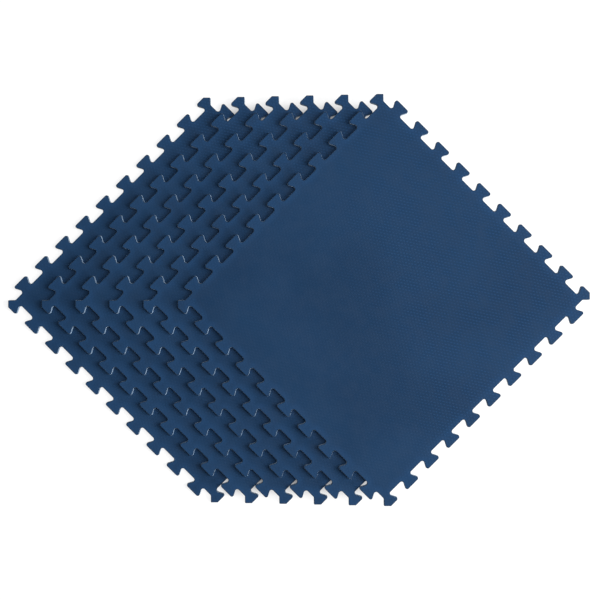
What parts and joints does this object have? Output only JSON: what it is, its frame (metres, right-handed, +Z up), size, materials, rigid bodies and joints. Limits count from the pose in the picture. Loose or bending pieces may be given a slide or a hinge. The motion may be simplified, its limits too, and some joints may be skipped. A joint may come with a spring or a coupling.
{
  "type": "blocking mats",
  "caption": "Fanned stack of square interlocking foam mats with dovetail jigsaw edges, locked side by side as a pinning surface for blocking knitting",
  "frame": {"origin": "centre of the stack's bounding box in X and Y, on the floor under the lowest mat", "axes": "+Z up, the way that the mats lift off; the mats lie square to X and Y; each mat is moved along +X and +Y from the one below it"},
  "size_m": [0.8892, 0.8892, 0.0777],
  "materials": {
    "eva_foam": "matte"
  },
  "bodies": {
    "mat_1": {"mat_1": "eva_foam"},
    "mat_2": {"mat_2": "eva_foam"},
    "mat_3": {"mat_3": "eva_foam"},
    "mat_4": {"mat_4": "eva_foam"},
    "mat_5": {"mat_5": "eva_foam"},
    "mat_6": {"mat_6": "eva_foam"}
  },
  "joints": [
    {"name": "mat_2_lift", "type": "slide", "parent": "mat_1", "child": "mat_2", "axis": [0, 0, 1], "range_m": [0, 0.1]},
    {"name": "mat_3_lift", "type": "slide", "parent": "mat_2", "child": "mat_3", "axis": [0, 0, 1], "range_m": [0, 0.1]},
    {"name": "mat_4_lift", "type": "slide", "parent": "mat_3", "child": "mat_4", "axis": [0, 0, 1], "range_m": [0, 0.1]},
    {"name": "mat_5_lift", "type": "slide", "parent": "mat_4", "child": "mat_5", "axis": [0, 0, 1], "range_m": [0, 0.1]},
    {"name": "mat_6_lift", "type": "slide", "parent": "mat_5", "child": "mat_6", "axis": [0, 0, 1], "range_m": [0, 0.1]}
  ]
}
